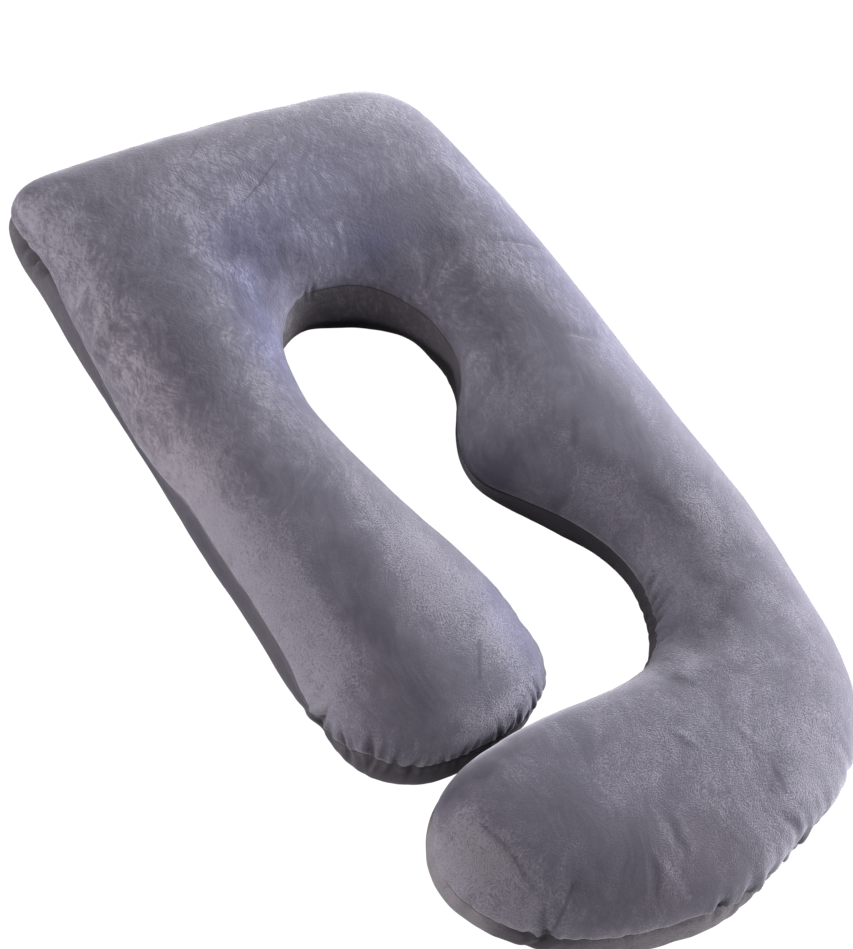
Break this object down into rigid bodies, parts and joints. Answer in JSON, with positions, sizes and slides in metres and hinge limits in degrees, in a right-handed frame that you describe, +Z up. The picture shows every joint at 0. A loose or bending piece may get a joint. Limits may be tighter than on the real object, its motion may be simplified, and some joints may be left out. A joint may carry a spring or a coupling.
{
  "type": "pregnancy pillow",
  "caption": "Full-body support pillow: a stuffed velvet tube bent into a G, with a head hollow, a body hollow and a hooked foot, resting flat on its lower panel.",
  "frame": {"origin": "on the surface the pillow lies on, under the middle of its bounding box", "axes": "+Z up, +Y along the length towards the head end, +X across towards the long curved arm"},
  "size_m": [0.78, 1.4988, 0.1893],
  "materials": {
    "cover": "brushed velvet"
  },
  "bodies": {
    "root": {"pillow": "cover"}
  },
  "joints": []
}
